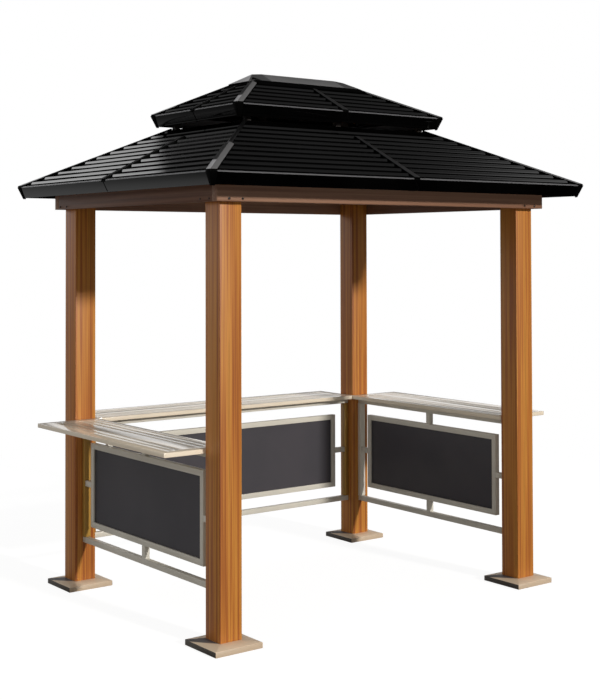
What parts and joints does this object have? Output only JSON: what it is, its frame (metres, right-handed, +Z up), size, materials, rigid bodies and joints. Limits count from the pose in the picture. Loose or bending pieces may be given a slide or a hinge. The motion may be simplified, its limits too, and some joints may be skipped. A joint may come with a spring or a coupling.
{
  "type": "grill gazebo",
  "caption": "Grill gazebo with a black ribbed double-tier hip roof on wood-look posts, slatted serving shelves and framed infill panels on the back and both ends, open at the front.",
  "frame": {"origin": "on the ground under the middle of the roof", "axes": "+X along the long side, +Y from the open front side to the back, +Z up"},
  "size_m": [2.504, 1.9526, 2.772],
  "materials": {
    "wood_print": "satin wood-grain print",
    "beam_print": "satin dark wood-grain print",
    "stile_print": "satin dark wood-grain print",
    "beige_paint": "satin beige",
    "plate_steel": "satin",
    "roof_black": "satin black",
    "frame_steel": "satin dark brown",
    "shelf_paint": "satin cream",
    "tube_paint": "satin beige grey",
    "panel_dark": "satin charcoal"
  },
  "bodies": {
    "root": {"front_left_post": "wood_print", "front_right_post": "wood_print", "back_left_post": "wood_print", "back_right_post": "wood_print", "foot_plates": "plate_steel", "base_covers": "beige_paint", "front_beam": "beam_print", "back_beam": "beam_print", "end_beams": "beam_print", "lower_front_sheet": "roof_black", "lower_back_sheet": "roof_black", "lower_left_sheet": "roof_black", "lower_right_sheet": "roof_black", "lower_long_fascias": "roof_black", "lower_end_fascias": "roof_black", "lower_rafters": "frame_steel", "ring_long_tubes": "frame_steel", "ring_cross_tubes": "frame_steel", "ring_uprights": "frame_steel", "upper_front_sheet": "roof_black", "upper_back_sheet": "roof_black", "upper_left_sheet": "roof_black", "upper_right_sheet": "roof_black", "upper_long_fascias": "roof_black", "upper_end_fascias": "roof_black", "upper_rafters": "frame_steel", "fascia_corners": "roof_black", "hip_caps": "roof_black", "roof_battens": "roof_black", "ridge_cap": "roof_black", "left_shelf": "shelf_paint", "back_shelf": "shelf_paint", "right_shelf": "shelf_paint", "left_frame": "tube_paint", "back_frame": "tube_paint", "right_frame": "tube_paint", "left_panel": "panel_dark", "back_panel": "panel_dark", "right_panel": "panel_dark", "left_rails": "tube_paint", "back_rails": "tube_paint", "right_rails": "tube_paint", "side_stubs": "tube_paint", "bay_stiles": "stile_print", "right_stiles": "tube_paint"}
  },
  "joints": []
}
